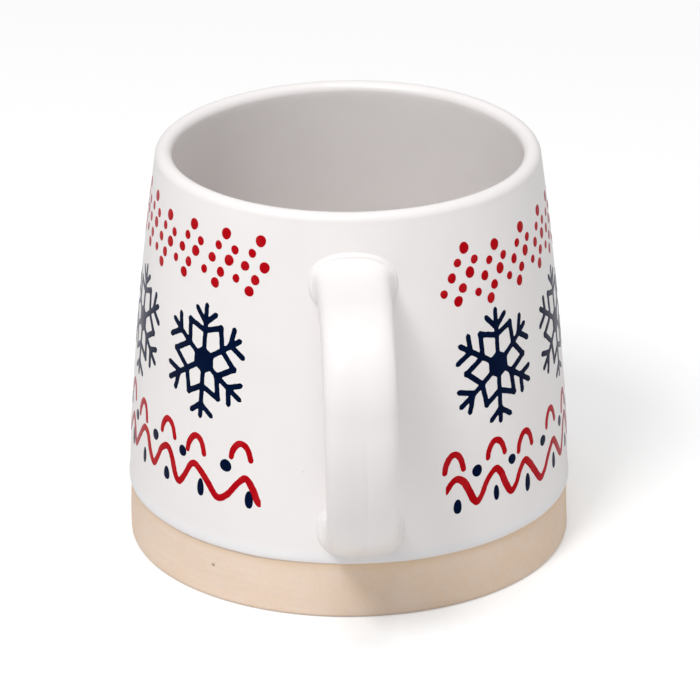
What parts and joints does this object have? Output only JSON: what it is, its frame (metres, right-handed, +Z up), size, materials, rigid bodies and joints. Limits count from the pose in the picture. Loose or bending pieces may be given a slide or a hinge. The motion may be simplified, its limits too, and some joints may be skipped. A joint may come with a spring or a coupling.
{
  "type": "stoneware mug",
  "caption": "Wide-footed stoneware mug with a strap handle, white glaze over a bare clay foot, and a printed red and navy winter border.",
  "frame": {"origin": "centre of the foot ring, on the table", "axes": "+Z up along the body's axis, handle towards -Y"},
  "size_m": [0.1036, 0.1358, 0.0955],
  "materials": {
    "bare_clay": "unglazed, fine dry grain",
    "joining_slip": "fired slip under the glaze",
    "white_glaze": "satin white",
    "red_print": "satin red transfer fired into the glaze",
    "navy_print": "satin navy transfer fired into the glaze"
  },
  "bodies": {
    "root": {"clay_body": "bare_clay", "clay_handle": "bare_clay", "upper_slip_joint": "joining_slip", "lower_slip_joint": "joining_slip", "outer_glaze": "white_glaze", "liner_glaze": "white_glaze", "handle_glaze": "white_glaze", "upper_root_glaze": "white_glaze", "lower_root_glaze": "white_glaze", "snowflake_1": "navy_print", "snowflake_2": "navy_print", "snowflake_3": "navy_print", "snowflake_4": "navy_print", "snowflake_5": "navy_print", "snowflake_6": "navy_print", "snowflake_7": "navy_print", "snowflake_8": "navy_print", "snowflake_9": "navy_print", "red_dots_right": "red_print", "red_dots_left": "red_print", "red_arches_right": "red_print", "red_arches_left": "red_print", "red_wave_right": "red_print", "red_wave_left": "red_print", "navy_dots_right": "navy_print", "navy_dots_left": "navy_print", "navy_drops_right": "navy_print", "navy_drops_left": "navy_print"}
  },
  "joints": []
}
